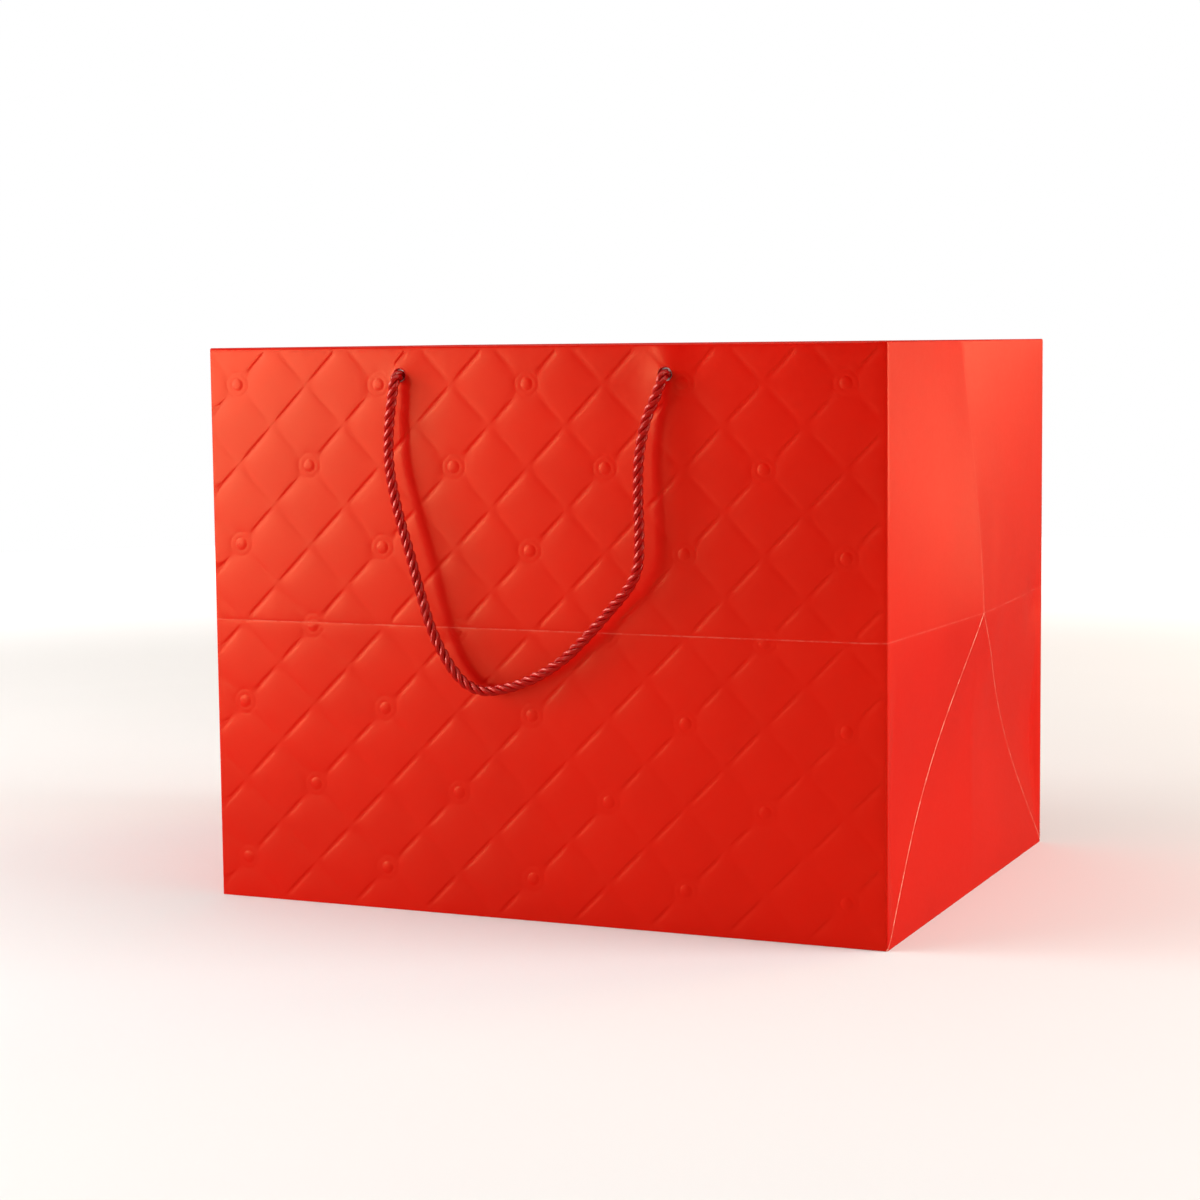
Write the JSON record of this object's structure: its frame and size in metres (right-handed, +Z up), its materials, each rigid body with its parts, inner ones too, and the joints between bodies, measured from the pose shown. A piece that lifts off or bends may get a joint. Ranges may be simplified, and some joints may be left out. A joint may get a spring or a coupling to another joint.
{
  "type": "gift bag",
  "caption": "Wide paper gift bag with quilted embossed front and back, folding gussets, turned-in top edge and rope handles.",
  "frame": {"origin": "middle of the base, on the surface that the bag stands on", "axes": "+Z up, front with its hanging rope handle faces -Y, +X to the right seen from the front"},
  "size_m": [0.362, 0.3024, 0.275],
  "materials": {
    "red_paper": "satin laminated art paper, red outside and white inside",
    "grey_card": "uncoated grey board",
    "rope": "glossy twisted three-strand cord",
    "eyelet_metal": "nickel plated"
  },
  "bodies": {
    "bag": {"front_panel": "red_paper", "front_top_card": "grey_card", "front_hem": "red_paper", "front_eyelet_left": "eyelet_metal", "front_eyelet_right": "eyelet_metal", "front_knot_left": "rope", "front_knot_right": "rope", "back_panel": "red_paper", "back_top_card": "grey_card", "back_hem": "red_paper", "back_eyelet_left": "eyelet_metal", "back_eyelet_right": "eyelet_metal", "back_knot_left": "rope", "back_knot_right": "rope", "right_gusset_front": "red_paper", "right_gusset_back": "red_paper", "left_gusset_front": "red_paper", "left_gusset_back": "red_paper", "right_hem": "red_paper", "left_hem": "red_paper", "front_glue_flap": "red_paper", "back_glue_flap": "red_paper", "front_bottom_flap": "red_paper", "back_bottom_flap": "red_paper", "right_bottom_flap": "red_paper", "left_bottom_flap": "red_paper"},
    "base_board": {"base_board": "grey_card"},
    "front_handle": {"front_handle": "rope"},
    "back_handle": {"back_handle": "rope"}
  },
  "joints": [
    {"name": "front_handle_swing", "type": "hinge", "parent": "bag", "child": "front_handle", "pos_m": [0, -0.146, 0.261], "axis": [-1, 0, 0], "range_deg": [0, 179.9]},
    {"name": "back_handle_swing", "type": "hinge", "parent": "bag", "child": "back_handle", "pos_m": [0, 0.146, 0.261], "axis": [1, 0, 0], "range_deg": [0, 179.9]},
    {"name": "base_board_lift", "type": "slide", "parent": "bag", "child": "base_board", "axis": [0, 0, 1], "range_m": [0, 0.2]}
  ]
}
